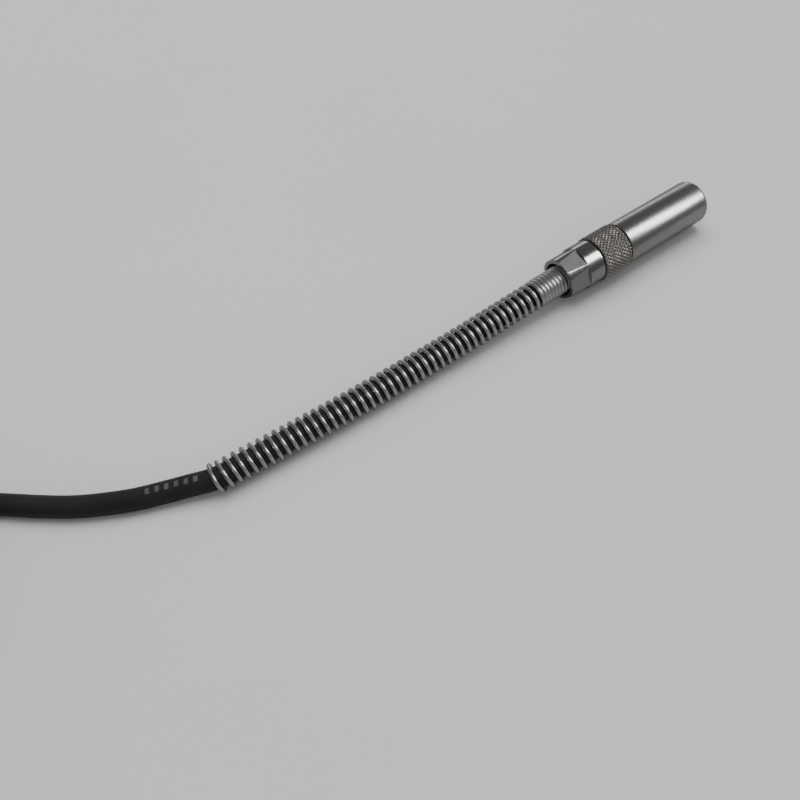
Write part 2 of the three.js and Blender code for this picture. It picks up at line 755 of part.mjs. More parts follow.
function buildPlug() {
  const plug = new THREE.Group();
  plug.position.set(COIL_X + PLUG_OFFSET, COIL_Y, 0);
  plug.add(piece("plug_base", plugBase(), plugPlastic));
  plug.add(piece("plug_cover", plugCover(), plugPlastic));
  plug.add(piece("plug_pin_positive", pin(1, POSITIVE_PIN_WIDTH), positiveAlloy));
  plug.add(piece("plug_pin_negative", pin(-1, NEGATIVE_PIN_WIDTH), negativeAlloy));
  const terminalZ = PARTING_Z + PIN_THICKNESS / 2 + 0.1;
  const terminal = (side) => screw(side * PIN_OFFSET, TERMINAL_Y, terminalZ, 2, 1.2, 1.1, 2.8);
  plug.add(piece("terminal_screw_positive", terminal(1), brass));
  plug.add(piece("terminal_screw_negative", terminal(-1), brass));
  const coverHeadZ = PLUG_BOTTOM_Z + PLUG_HEIGHT - 1;
  plug.add(piece("cover_screw", screw(0, COVER_SCREW_Y, coverHeadZ, 2.2, 1.1, 1.05, 5), steel));
  const lowTop = PARTING_Z - 0.4;
  const highBottom = PARTING_Z + 0.4;
  const lowerJaw = clampJaw(PLUG_BOTTOM_Z + 0.2, lowTop);
  const upperJaw = clampJaw(highBottom, PLUG_BOTTOM_Z + PLUG_HEIGHT - 0.2);
  plug.add(piece("clamp_jaw_lower", lowerJaw, plugPlastic));
  plug.add(piece("clamp_jaw_upper", upperJaw, plugPlastic));
  const clampTop = PLUG_BOTTOM_Z + PLUG_HEIGHT - 0.1;
  const middle = CLAMP_REAR_Y + CLAMP_LENGTH / 2;
  [-1, 1].forEach((side, index) => {
    const geometry = screw(side * CLAMP_SCREW_OFFSET, middle, clampTop, 1.5, 1, 0.8, 6.4);
    plug.add(piece(`clamp_screw_${index + 1}`, geometry, steel));
  });
  return plug;
}

// ---- The whole probe ----

const route = leadRoute();
const thermocouple = new THREE.Group();
thermocouple.name = "thermocouple";
thermocouple.add(buildHead());
thermocouple.add(piece("strain_relief_spring", strainReliefSpring(route), springSteel));
thermocouple.add(piece("cable_run", cableRun(route), jacket));
thermocouple.add(buildCoil());
thermocouple.add(buildPlug());

export default thermocouple;
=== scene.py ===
import json
import math

import bmesh
import bpy
import numpy as np
from mathutils import Matrix, Vector


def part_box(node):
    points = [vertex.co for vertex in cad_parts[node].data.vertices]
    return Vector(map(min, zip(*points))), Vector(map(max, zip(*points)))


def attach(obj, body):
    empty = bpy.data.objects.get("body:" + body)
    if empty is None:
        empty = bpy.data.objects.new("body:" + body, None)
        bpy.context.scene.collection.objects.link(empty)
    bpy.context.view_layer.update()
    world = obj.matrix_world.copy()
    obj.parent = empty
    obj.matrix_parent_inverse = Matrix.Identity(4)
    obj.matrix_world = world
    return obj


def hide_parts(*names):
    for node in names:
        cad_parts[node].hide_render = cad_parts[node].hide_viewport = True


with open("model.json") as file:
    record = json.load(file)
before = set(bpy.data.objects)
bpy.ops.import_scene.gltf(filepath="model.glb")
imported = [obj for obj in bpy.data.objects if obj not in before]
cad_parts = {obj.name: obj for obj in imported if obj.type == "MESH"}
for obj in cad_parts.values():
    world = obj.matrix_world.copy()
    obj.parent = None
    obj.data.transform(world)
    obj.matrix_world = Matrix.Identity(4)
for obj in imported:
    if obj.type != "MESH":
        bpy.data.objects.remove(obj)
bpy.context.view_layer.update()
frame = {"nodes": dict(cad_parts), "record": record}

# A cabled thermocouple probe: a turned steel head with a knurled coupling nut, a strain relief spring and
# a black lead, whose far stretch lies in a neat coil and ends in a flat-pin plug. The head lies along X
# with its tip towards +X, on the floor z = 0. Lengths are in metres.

MM = 0.001
MICRON = 0.000001
SCENE = bpy.context.scene

# ---- Places and sizes read from the frame ----

GLAND_LOW, GLAND_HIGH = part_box("gland_body")
NUT_LOW, NUT_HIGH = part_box("coupling_nut")
BARREL_LOW, BARREL_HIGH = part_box("probe_barrel")
COIL_LOW, COIL_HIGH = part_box("cable_coil")
TAIL_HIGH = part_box("cable_tail")[1]
PLUG_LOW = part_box("plug_base")[0]
PLUG_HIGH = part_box("plug_cover")[1]
AXIS_Z = (NUT_LOW.z + NUT_HIGH.z) / 2
REAR_X = GLAND_LOW.x
SPIGOT_END_X = GLAND_HIGH.x
TIP_X = BARREL_HIGH.x
KNURL_RADIUS = (NUT_HIGH.z - NUT_LOW.z) / 2
BARREL_RADIUS = (BARREL_HIGH.z - BARREL_LOW.z) / 2
COIL_X = (COIL_LOW.x + COIL_HIGH.x) / 2
COIL_Y = (COIL_LOW.y + COIL_HIGH.y) / 2
PLUG_X = (PLUG_LOW.x + PLUG_HIGH.x) / 2
PLUG_MIDDLE_Z = (PLUG_LOW.z + PLUG_HIGH.z) / 2

# ---- Camera ----

CAMERA_PLACE = Vector((-0.1398, -0.0986, 0.1684))
CAMERA_FORWARD = Vector((0.2660, 0.4753, -0.8387))
CAMERA_UP = Vector((0.4985, 0.6768, 0.5417))
CAMERA_LENS = 32.4
CAMERA_SENSOR = 36
CAMERA_NEAREST = 0.005


def add_camera():
    """The camera, above the lead and looking along the spring towards the head."""
    data = bpy.data.cameras.new("camera")
    data.sensor_width = CAMERA_SENSOR
    data.lens = CAMERA_LENS
    data.clip_start = CAMERA_NEAREST
    camera = bpy.data.objects.new("camera", data)
    SCENE.collection.objects.link(camera)
    right = CAMERA_FORWARD.cross(CAMERA_UP).normalized()
    up = right.cross(CAMERA_FORWARD).normalized()
    turn = Matrix((right, up, -CAMERA_FORWARD.normalized())).transposed().to_4x4()
    camera.matrix_world = Matrix.Translation(CAMERA_PLACE) @ turn
    SCENE.camera = camera


# ---- Mesh helpers ----

FILLET_STEPS = 6
MERGE_DISTANCE = 1e-7


def new_mesh(name, points, faces, sharp_deg, uvs=None):
    """A smooth-shaded mesh object with sharp edges where faces meet at more than an angle."""
    mesh = bpy.data.meshes.new(name)
    mesh.from_pydata([tuple(p) for p in points], [], faces)
    mesh.update()
    if uvs is not None:
        layer = mesh.uv_layers.new(name="along")
        corners = np.zeros(len(mesh.loops), np.int32)
        mesh.loops.foreach_get("vertex_index", corners)
        layer.data.foreach_set("uv", uvs[corners].astype(np.float32).ravel())
    mesh.shade_smooth()
    mesh.set_sharp_from_angle(angle=math.radians(sharp_deg))
    piece = bpy.data.objects.new(name, mesh)
    SCENE.collection.objects.link(piece)
    return piece


def dress(piece, materials, body, slot, *nodes):
    """Gives a piece its materials, its body and the CAD nodes that it stands for; the slot is not used."""
    for material in materials:
        piece.data.materials.append(material)
    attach(piece, body)
    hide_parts(*nodes)
    return piece


def filleted(corners):
    """An outline of (x, radius, fillet) corners, with each fillet as a short arc."""
    outline = []
    for i, (x, r, fillet) in enumerate(corners):
        if fillet == 0:
            outline.append((x, r))
            continue
        here = Vector((x, r))
        back = (Vector(corners[i - 1][:2]) - here).normalized()
        ahead = (Vector(corners[(i + 1) % len(corners)][:2]) - here).normalized()
        half = math.acos(max(-1, min(1, back.dot(ahead)))) / 2
        setback = fillet / math.tan(half)
        centre = here + (back + ahead).normalized() * fillet / math.sin(half)
        first = here + back * setback - centre
        last = here + ahead * setback - centre
        turn = first.angle_signed(last)
        for k in range(FILLET_STEPS + 1):
            spoke = first.copy()
            spoke.rotate(Matrix.Rotation(-turn * k / FILLET_STEPS, 2))
            outline.append(tuple(centre + spoke))
    return outline


def with_rows(outline, step_on):
    """The outline with extra points on each stretch that step_on(start, end) gives a step for."""
    made = []
    for i, (x, r) in enumerate(outline):
        next_x, next_r = outline[(i + 1) % len(outline)]
        made.append((x, r))
        step = step_on((x, r), (next_x, next_r))
        if step:
            count = max(2, round(abs(next_x - x) / step))
            for k in range(1, count):
                made.append((x + (next_x - x) * k / count, r + (next_r - r) * k / count))
    return made


def revolve(name, outline, segments, sharp_deg, radius_at=None):
    """A closed solid turned about the head's axis. The outline is a loop of (x, radius), running towards
    the tip on the outside. radius_at(x, radius, angle) may change the radius."""
    rows = len(outline)
    x = np.array([p[0] for p in outline])
    r = np.array([p[1] for p in outline])
    angle = np.linspace(0, 2 * np.pi, segments, endpoint=False)
    grid_x = np.repeat(x[:, None], segments, 1)
    grid_r = np.repeat(r[:, None], segments, 1)
    grid_a = np.repeat(angle[None], rows, 0)
    if radius_at is not None:
        grid_r = radius_at(grid_x, grid_r, grid_a)
    points = np.stack(
        [grid_x, grid_r * np.cos(grid_a), AXIS_Z + grid_r * np.sin(grid_a)], 2
    ).reshape(-1, 3)
    faces = []
    for i in range(rows):
        here = i * segments
        ahead = (i + 1) % rows * segments
        for k in range(segments):
            n = (k + 1) % segments
            faces.append((here + n, ahead + n, ahead + k, here + k))
    piece = new_mesh(name, points, faces, sharp_deg)
    bm = bmesh.new()
    bm.from_mesh(piece.data)
    bmesh.ops.remove_doubles(bm, verts=bm.verts, dist=MERGE_DISTANCE)
    bmesh.ops.recalc_face_normals(bm, faces=bm.faces)
    bm.to_mesh(piece.data)
    bm.free()
    return piece


def sweep(name, path, radius, sides, sharp_deg):
    """A round tube with closed ends along a path. Its UV is (closeness to the top, metres along)."""
    path = np.array(path, float)
    tangents = np.gradient(path, axis=0)
    tangents /= np.linalg.norm(tangents, axis=1)[:, None]
    along = np.concatenate([[0], np.cumsum(np.linalg.norm(np.diff(path, axis=0), axis=1))])
    up = np.array([0.0, 0.0, 1.0])
    normal = np.cross(np.cross(tangents[0], up), tangents[0])
    normal /= np.linalg.norm(normal)
    points = []
    uvs = []
    for place, tangent, distance in zip(path, tangents, along):
        normal = normal - tangent * (normal @ tangent)
        normal /= np.linalg.norm(normal)
        side = np.cross(tangent, normal)
        for k in range(sides):
            a = 2 * math.pi * k / sides
            points.append(place + radius * (math.cos(a) * normal + math.sin(a) * side))
            uvs.append((abs(2 * k / sides - 1), distance))
    faces = []
    for i in range(len(path) - 1):
        here = i * sides
        ahead = here + sides
        for k in range(sides):
            n = (k + 1) % sides
            faces.append((here + k, here + n, ahead + n, ahead + k))
    faces.append(tuple(range(sides))[::-1])
    last = (len(path) - 1) * sides
    faces.append(tuple(last + k for k in range(sides)))
    return new_mesh(name, points, faces, sharp_deg, np.array(uvs))


# ---- Material helpers ----


class Nodes:
    """A short way to write a material's node tree."""

    def __init__(self, name, **shader_values):
        """Starts a material. An underscore in a keyword stands for a space in the socket's name."""
        self.material = bpy.data.materials.new(name)
        self.material.use_nodes = True
        self.tree = self.material.node_tree
        self.shader = next(n for n in self.tree.nodes if n.type == "BSDF_PRINCIPLED")
        for socket, value in shader_values.items():
            self.shader.inputs[socket.replace("_", " ")].default_value = value

    def add(self, kind, inputs=None, **settings):
        """A node whose inputs are linked to sockets or set to values."""
        node = self.tree.nodes.new(kind)
        for key, value in settings.items():
            setattr(node, key, value)
        for key, value in (inputs or {}).items():
            if isinstance(value, bpy.types.NodeSocket):
                self.tree.links.new(value, node.inputs[key])
            else:
                node.inputs[key].default_value = value
        return node

    def place(self):
        """The point's own place on the piece, in metres."""
        return self.add("ShaderNodeTexCoord").outputs["Object"]

    def grain(self, cells, detail=3, roughness=0.6):
        """Noise with a number of cells in each metre, or one number for each of X, Y and Z."""
        stretch = cells if isinstance(cells, tuple) else (cells,) * 3
        mapping = self.add("ShaderNodeMapping", {"Vector": self.place(), "Scale": stretch})
        place = mapping.outputs["Vector"]
        inputs = {"Vector": place, "Scale": 1.0, "Detail": detail, "Roughness": roughness}
        return self.add("ShaderNodeTexNoise", inputs).outputs["Fac"]

    def ranged(self, value, low, high, to_low, to_high):
        """The value moved from one range to another and kept inside it."""
        inputs = {"Value": value, "From Min": low, "From Max": high, "To Min": to_low, "To Max": to_high}
        return self.add("ShaderNodeMapRange", inputs).outputs["Result"]

    def maths(self, operation, a, b=0.0):
        """One step of arithmetic."""
        return self.add("ShaderNodeMath", {0: a, 1: b}, operation=operation).outputs[0]

    def colours(self, factor, low, high):
        """A colour between two. Either may be a colour or another node's output."""
        inputs = {"Factor": factor}
        for socket, colour in ((6, low), (7, high)):
            inputs[socket] = (*colour, 1) if isinstance(colour, tuple) else colour
        return self.add("ShaderNodeMix", inputs, data_type="RGBA").outputs[2]

    def bump(self, height, distance):
        """Relief as deep as a distance."""
        normal = self.add("ShaderNodeBump", {"Height": height, "Distance": distance, "Strength": 1.0})
        self.to_shader("Normal", normal.outputs["Normal"])

    def to_shader(self, socket, value):
        """Links a value to the shader."""
        self.tree.links.new(value, self.shader.inputs[socket])


# ---- Materials ----


def turned_steel(name, smoothest, roughest):
    """Stainless steel with fine turning lines round the axis."""
    m = Nodes(name, Metallic=1.0)
    lines = m.grain((6000, 40, 40), detail=4)
    stains = m.grain(60)
    m.to_shader("Base Color", m.colours(stains, (0.5, 0.5, 0.495), (0.6, 0.6, 0.59)))
    m.to_shader("Roughness", m.ranged(lines, 0.3, 0.7, smoothest, roughest))
    m.bump(lines, 0.04 * MICRON)
    return m.material


def milled_steel():
    """The spanner flats: satin from the milling cutter, with lines across the axis."""
    m = Nodes("milled_steel", Metallic=1.0)
    lines = m.grain((3000, 260, 260), detail=4)
    m.to_shader("Base Color", m.colours(lines, (0.42, 0.42, 0.415), (0.55, 0.55, 0.54)))
    m.to_shader("Roughness", m.ranged(lines, 0.3, 0.7, 0.34, 0.48))
    m.bump(lines, 2 * MICRON)
    return m.material


def painted_bore_shade_steel():
    """The unpolished mouth and bores, painted near black as the shade down inside them."""
    m = Nodes("painted_bore_shade_steel", Metallic=1.0)
    stains = m.grain(700, detail=4)
    # Painted shade: the base colour is kept near black, with a slight random change.
    m.to_shader("Base Color", m.colours(stains, (0.06, 0.055, 0.05), (0.16, 0.15, 0.14)))
    m.to_shader("Roughness", m.ranged(stains, 0.3, 0.7, 0.4, 0.6))
    m.bump(stains, 10 * MICRON)
    return m.material


def knurled_steel(root, crest):
    """Knurled steel: bright on the worn crests, dull down in the grooves, which are painted brown and dark
    as shade.
    """
    m = Nodes("knurled_steel", Metallic=1.0)
    split = m.add("ShaderNodeSeparateXYZ", {"Vector": m.place()})
    across = m.maths("POWER", split.outputs["Y"], 2.0)
    up = m.maths("POWER", m.maths("SUBTRACT", split.outputs["Z"], AXIS_Z), 2.0)
    radius = m.maths("SQRT", m.maths("ADD", across, up))
    height = m.ranged(radius, root, crest, 0.0, 1.0)
    grain = m.grain(900)
    # Colour by depth: worn crests are bright, and the grooves get painted shade.
    crest_wear_and_groove_shade = m.maths("MULTIPLY", height, m.ranged(grain, 0.3, 0.7, 0.75, 1.1))
    m.to_shader("Base Color", m.colours(crest_wear_and_groove_shade, (0.24, 0.215, 0.197), (0.82, 0.785, 0.755)))
    m.to_shader("Roughness", m.ranged(crest_wear_and_groove_shade, 0.0, 1.0, 0.5, 0.3))
    m.bump(grain, 2 * MICRON)
    return m.material


def spring_steel():
    """Bright drawn wire."""
    m = Nodes("spring_steel", Metallic=1.0)
    grain = m.grain(1500)
    m.to_shader("Base Color", m.colours(grain, (0.8, 0.8, 0.81), (0.9, 0.9, 0.91)))
    m.to_shader("Roughness", m.ranged(grain, 0.3, 0.7, 0.27, 0.37))
    m.bump(grain, 1 * MICRON)
    return m.material


# The dashes: metres along the lead, and how near its top they lie, where 1 is the very top.
DASH_PITCH = 0.0026
DASH_SHARE = 0.45
DASHES_START = 48.9 * DASH_PITCH
DASHES_END = 54.9 * DASH_PITCH
DASHES_REPEAT = 0.25
DASHES_CLOSENESS = 0.91


def cable_jacket():
    """Black jacket with a faint row of pale dashes near the spring, repeated along the lead."""
    m = Nodes("cable_jacket", Specular_IOR_Level=0.45)
    grain = m.grain(1400, roughness=0.55)
    soft = m.grain(140, roughness=0.55)
    uv = m.add("ShaderNodeUVMap", uv_map="along").outputs["UV"]
    split = m.add("ShaderNodeSeparateXYZ", {"Vector": uv})
    spot = m.maths("MODULO", split.outputs["Y"], DASHES_REPEAT)
    after_start = m.maths("GREATER_THAN", spot, DASHES_START)
    before_end = m.maths("LESS_THAN", spot, DASHES_END)
    inside = m.maths("MULTIPLY", after_start, before_end)
    dash = m.maths("LESS_THAN", m.maths("MODULO", spot, DASH_PITCH), DASH_SHARE * DASH_PITCH)
    on_top = m.maths("GREATER_THAN", split.outputs["X"], DASHES_CLOSENESS)
    ink = m.maths("MULTIPLY", m.maths("MULTIPLY", inside, dash), on_top)
    worn = m.maths("MULTIPLY", ink, m.ranged(soft, 0.35, 0.65, 0.07, 0.14))
    black = m.colours(soft, (0.0105, 0.0112, 0.013), (0.017, 0.0182, 0.0205))
    m.to_shader("Base Color", m.colours(worn, black, (0.42, 0.43, 0.45)))
    m.to_shader("Roughness", m.ranged(soft, 0.3, 0.7, 0.36, 0.5))
    m.bump(grain, 10 * MICRON)
    return m.material


def moulded(name, low, high, roughness, cells=1600, depth=10 * MICRON, metallic=0.0):
    """A plain moulded, drawn or fired finish with a fine grain and a slight colour change."""
    spread = 0.07
    m = Nodes(name, Metallic=metallic)
    grain = m.grain(cells)
    soft = m.grain(180, detail=2, roughness=0.5)
    m.to_shader("Base Color", m.colours(soft, low, high))
    m.to_shader("Roughness", m.ranged(grain, 0.3, 0.7, roughness - spread, roughness + spread))
    m.bump(grain, depth)
    return m.material


# ---- Gland body ----

FLATS_END_X = REAR_X + 6.95 * MM
BAND_END_X = REAR_X + 12.3 * MM
COLLAR_REAR_RADIUS = 6.35 * MM
BAND_RADIUS = 6.65 * MM
COLLAR_LEAST_RADIUS = 5.5 * MM
FLATS_RUNOUT = 0.02 * MM
SPIGOT_RADIUS = 5.2 * MM
SPIGOT_LEAST_RADIUS = 5.0 * MM
MOUTH_RADIUS = 5.15 * MM
MOUTH_DEPTH = 1.2 * MM
SPRING_BORE_RADIUS = 4.6 * MM
GROMMET_BORE_RADIUS = 4.3 * MM
INSERT_BORE_RADIUS = 3.3 * MM
SPRING_SEAT_X = -20.6 * MM
GROMMET_SEAT_X = -16 * MM
INSERT_BORE_LIP = 0.1 * MM
LONG_STRETCH = 3 * MM
COLLAR_ROW = 0.5 * MM
THREAD_ROW = 0.1 * MM
GLAND_SEGMENTS = 360

# The flats: a mount in the record lies on one of the six.
SPANNER_FLAT = next(x for x in frame["record"]["mounts"] if x["name"] == "spanner_flat")
FLAT_AXIS = Vector(SPANNER_FLAT["axis"])
FLAT_ANGLE = math.atan2(FLAT_AXIS.z, FLAT_AXIS.y)
FLAT_DISTANCE = (Vector(SPANNER_FLAT["pos_m"]) - Vector((0, 0, AXIS_Z))).dot(FLAT_AXIS)
FLAT_TOLERANCE = 0.01 * MM

# The thread: it fades in after the band and out before the spigot's end. Its crests are flat.
THREAD_PITCH = 1.0 * MM
THREAD_DEPTH = 0.5 * MM
THREAD_START_X = BAND_END_X + 0.5 * MM
THREAD_START_FADE = 0.8 * MM
THREAD_END_X = SPIGOT_END_X - 0.3 * MM
THREAD_END_FADE = 0.5 * MM
THREAD_SLOPE = 1.25
THREAD_CREST = 0.12


def off_flat(angle):
    """The angle from the middle of the nearest of the six flats."""
    return (angle - FLAT_ANGLE + math.pi / 6) % (math.pi / 3) - math.pi / 6


def gland_row_step(start, end):
    """Long stretches of the gland's outside are cut into rows: close on the thread, wider on the collar."""
    if abs(end[0] - start[0]) <= LONG_STRETCH or min(start[1], end[1]) <= SPIGOT_LEAST_RADIUS:
        return None
    return THREAD_ROW if start[1] < COLLAR_LEAST_RADIUS else COLLAR_ROW


def gland_radius(x, r, angle):
    """Cuts the six flats into the collar and a right-hand thread into the spigot."""
    on_flats = (x < FLATS_END_X + FLATS_RUNOUT / 2) & (r > COLLAR_LEAST_RADIUS)
    r = np.where(on_flats, np.minimum(r, FLAT_DISTANCE / np.cos(off_flat(angle))), r)
    phase = ((x - BAND_END_X) / THREAD_PITCH - angle / (2 * math.pi)) % 1
    ridge = 1 - np.abs(2 * phase - 1)
    fade = np.clip((x - THREAD_START_X) / THREAD_START_FADE, 0, 1)
    fade = fade * np.clip((THREAD_END_X - x) / THREAD_END_FADE, 0, 1)
    cut = THREAD_DEPTH * np.clip(THREAD_SLOPE * (1 - ridge) - THREAD_CREST, 0, 1) * fade
    on_thread = (r > SPIGOT_LEAST_RADIUS) & (r < COLLAR_LEAST_RADIUS) & (x > BAND_END_X)
    return np.where(on_thread, r - cut, r)


def build_gland(steel, milled, painted_bore_shade):
    """The gland body: cone with six flats, polished band, threaded spigot and stepped bore."""
    outline = filleted([
        (REAR_X, MOUTH_RADIUS, 0.06 * MM),
        (REAR_X, COLLAR_REAR_RADIUS, 0.18 * MM),
        (FLATS_END_X, BAND_RADIUS, 0),
        (FLATS_END_X + FLATS_RUNOUT, BAND_RADIUS, 0),
        (BAND_END_X, BAND_RADIUS, 0.15 * MM),
        (BAND_END_X, SPIGOT_RADIUS, 0),
        (SPIGOT_END_X, SPIGOT_RADIUS, 0.25 * MM),
        (SPIGOT_END_X, INSERT_BORE_RADIUS, INSERT_BORE_LIP),
        (GROMMET_SEAT_X, INSERT_BORE_RADIUS, 0),
        (GROMMET_SEAT_X, GROMMET_BORE_RADIUS, 0),
        (SPRING_SEAT_X, GROMMET_BORE_RADIUS, 0),
        (SPRING_SEAT_X, SPRING_BORE_RADIUS, 0),
        (REAR_X + MOUTH_DEPTH, SPRING_BORE_RADIUS, 0),
    ])
    rows = with_rows(outline, gland_row_step)
    piece = revolve("gland_body_turned", rows, GLAND_SEGMENTS, sharp_deg=12, radius_at=gland_radius)
    slots = [steel, milled, painted_bore_shade]
    for polygon in piece.data.polygons:
        x, y, z = polygon.center
        spoke = Vector((y, z - AXIS_Z))
        faces_out = polygon.normal.yz.dot(spoke.normalized()) >= 0.5
        flat_reach = spoke.length * math.cos(off_flat(math.atan2(z - AXIS_Z, y)))
        # Inward faces of the mouth and bores take the painted shade steel.
        if not faces_out and spoke.length < SPIGOT_RADIUS and x < SPIGOT_END_X - INSERT_BORE_LIP:
            polygon.material_index = slots.index(painted_bore_shade)
        elif x < FLATS_END_X and abs(flat_reach - FLAT_DISTANCE) < FLAT_TOLERANCE:
            polygon.material_index = slots.index(milled)
    return dress(piece, slots, "gland", "turned_steel", "gland_body")


# ---- Coupling nut ----

NUT_BORE_RADIUS = 5.35 * MM
NUT_FRONT_BORE_RADIUS = 4.95 * MM
NUT_STEP_X = -7.2 * MM
NUT_EDGE = 0.05 * MM
NUT_LEAST_RADIUS = 6 * MM
KNURL_STARTS = 36
KNURL_SEGMENTS = 10 * KNURL_STARTS
KNURL_AXIAL_PITCH = 1.45 * MM
KNURL_DEPTH = 0.36 * MM
KNURL_ROOT = KNURL_RADIUS - KNURL_DEPTH
KNURL_BEVEL = 0.5 * MM
KNURL_BEVEL_DROP = 0.25 * MM
KNURL_SHORTEST = 0.3 * MM
KNURL_ROW = 0.1 * MM
KNURL_SLOPE = 1.25


def nut_row_step(start, end):
    """The nut's outside is cut into rows that are close enough for the knurl."""
    outside = min(start[1], end[1]) > NUT_LEAST_RADIUS
    return KNURL_ROW if outside and end[0] - start[0] > KNURL_SHORTEST else None


def nut_radius(x, r, angle):
    """Two crossing sets of grooves leave the knurl's diamonds."""
    turn = KNURL_STARTS * angle / (2 * math.pi)
    run = x / KNURL_AXIAL_PITCH
    first = np.abs(2 * ((turn + run) % 1) - 1)
    second = np.abs(2 * ((turn - run) % 1) - 1)
    height = np.clip(KNURL_SLOPE * np.minimum(first, second), 0, 1)
    return np.where(r > NUT_LEAST_RADIUS, np.minimum(r, KNURL_ROOT + KNURL_DEPTH * height), r)


def build_nut(knurled):
    """The coupling nut with a cut diamond knurl between two bevelled ends."""
    outline = filleted([
        (NUT_LOW.x, NUT_BORE_RADIUS, NUT_EDGE),
        (NUT_LOW.x, KNURL_ROOT - KNURL_BEVEL_DROP, NUT_EDGE),
        (NUT_LOW.x + KNURL_BEVEL, KNURL_RADIUS, 0),
        (NUT_HIGH.x - KNURL_BEVEL, KNURL_RADIUS, 0),
        (NUT_HIGH.x, KNURL_ROOT - KNURL_BEVEL_DROP, NUT_EDGE),
        (NUT_HIGH.x, NUT_FRONT_BORE_RADIUS, NUT_EDGE),
        (NUT_STEP_X, NUT_FRONT_BORE_RADIUS, 0),
        (NUT_STEP_X, NUT_BORE_RADIUS, 0),
    ])
    rows = with_rows(outline, nut_row_step)
    piece = revolve("coupling_nut_knurled", rows, KNURL_SEGMENTS, sharp_deg=28, radius_at=nut_radius)
    return dress(piece, [knurled], "nut", "knurled_steel", "coupling_nut")


# ---- Barrel ----

NECK_RADIUS = 4.75 * MM
GROOVE_RADIUS = 4.15 * MM
GROOVE_START_X = -8.7 * MM
GROOVE_END_X = -7.7 * MM
SHOULDER_X = -4.2 * MM
BARREL_BORE_RADIUS = 3.2 * MM
BARREL_BORE_END_X = 25 * MM
BARREL_BORE_CORNER = 0.3 * MM
TIP_EDGE = 1.2 * MM
TIP_CENTRE_RADIUS = 0.05 * MM
BARREL_SEGMENTS = 192
BORE_MARGIN = 0.1 * MM


def build_barrel(steel, painted_bore_shade):
    """The barrel: plain sleeve with a rounded closed tip, grooved neck and blind bore."""
    outline = filleted([
        (BARREL_LOW.x, BARREL_BORE_RADIUS, 0),
        (BARREL_LOW.x, NECK_RADIUS, 0.15 * MM),
        (GROOVE_START_X, NECK_RADIUS, 0),
        (GROOVE_START_X, GROOVE_RADIUS, 0),
        (GROOVE_END_X, GROOVE_RADIUS, 0),
        (GROOVE_END_X, NECK_RADIUS, 0),
        (SHOULDER_X, NECK_RADIUS, 0.1 * MM),
        (SHOULDER_X, BARREL_RADIUS, 0.25 * MM),
        (TIP_X, BARREL_RADIUS, TIP_EDGE),
        (TIP_X, TIP_CENTRE_RADIUS, 0),
        (TIP_X, 0, 0),
        (BARREL_BORE_END_X, 0, 0),
        (BARREL_BORE_END_X, BARREL_BORE_RADIUS, BARREL_BORE_CORNER),
    ])
    piece = revolve("probe_barrel_turned", outline, BARREL_SEGMENTS, sharp_deg=35)
    slots = [steel, painted_bore_shade]
    for polygon in piece.data.polygons:
        x, y, z = polygon.center
        within = math.hypot(y, z - AXIS_Z) < BARREL_BORE_RADIUS + BORE_MARGIN
        # The blind bore takes the painted shade steel.
        if within and x < BARREL_BORE_END_X + BORE_MARGIN:
            polygon.material_index = slots.index(painted_bore_shade)
    return dress(piece, slots, "barrel", "turned_steel", "probe_barrel")


# ---- Lead: the route of part.mjs, in metres ----

LEAD_RADIUS = 0.003
LEAD_SIDES = 24
LEAD_STEPS_PER_SPAN = 6
COIL_ENTRY_DEG = 59
TRACK_RADIUS = 0.036
FIRST_LAYER_Z = 0.0038
ROUTE = [
    (-0.0161, 0, 0.0071),
    (-0.022, 0, 0.0071),
    (-0.028, -0.0001, 0.00705),
    (-0.0333, -0.0001, 0.0069),
    (-0.0385, -0.0001, 0.0066),
    (-0.0509, 0.0001, 0.0058),
    (-0.063, 0.0002, 0.0051),
    (-0.0748, 0.0005, 0.00465),
    (-0.0863, 0.0006, 0.0044),
    (-0.101, 0.0009, 0.00435),
    (-0.1166, 0.0015, 0.00435),
    (-0.1321, 0.0023, 0.00435),
    (-0.1396, 0.0028, 0.0043),
    (-0.1464, 0.0054, 0.0036),
    (-0.1528, 0.0079, 0.0031),
    (-0.1596, 0.0105, 0.003),
    (-0.1665, 0.0139, 0.003),
    (-0.1732, 0.0178, 0.003),
    (-0.1797, 0.0225, 0.003),
    (-0.1893, 0.0302, 0.003),
    (-0.1979, 0.0368, 0.0031),
    (-0.2066, 0.0432, 0.0034),
    (-0.2156, 0.0492, 0.0037),
    (
        COIL_X + TRACK_RADIUS * math.cos(math.radians(COIL_ENTRY_DEG)),
        COIL_Y + TRACK_RADIUS * math.sin(math.radians(COIL_ENTRY_DEG)),
        FIRST_LAYER_Z,
    ),
]

TURN_PITCH = 2 * LEAD_RADIUS
SHIFT_DEG = 120
STEP_DEG = 8
FIRST_HOLD_DEG = 141
# Each leg of the coil: degrees, move away from the middle and rise, both in cord diameters.
COIL_LEGS = [
    (FIRST_HOLD_DEG, 0, 0),
    (SHIFT_DEG, -1, 0),
    (360 - SHIFT_DEG, 0, 0),
    (SHIFT_DEG, -1, 0),
    (360 - 2 * SHIFT_DEG, 0, 0),
    (SHIFT_DEG, 0, 1),
    (360 - 2 * SHIFT_DEG, 0, 0),
    (SHIFT_DEG, 1, 0),
    (360 - SHIFT_DEG, 0, 0),
    (SHIFT_DEG, 1, 0),
    (360 - 2 * SHIFT_DEG, 0, 0),
    (SHIFT_DEG, 0, 1),
    (360 - 2 * SHIFT_DEG, 0, 0),
    (SHIFT_DEG, -1, 0),
    (360 - SHIFT_DEG, 0, 0),
    (SHIFT_DEG, -1, 0),
]
TAIL_DEG = 160
RISE_DEG = 100
SPREAD_DEG = 120
PLUG_STEPS = 3


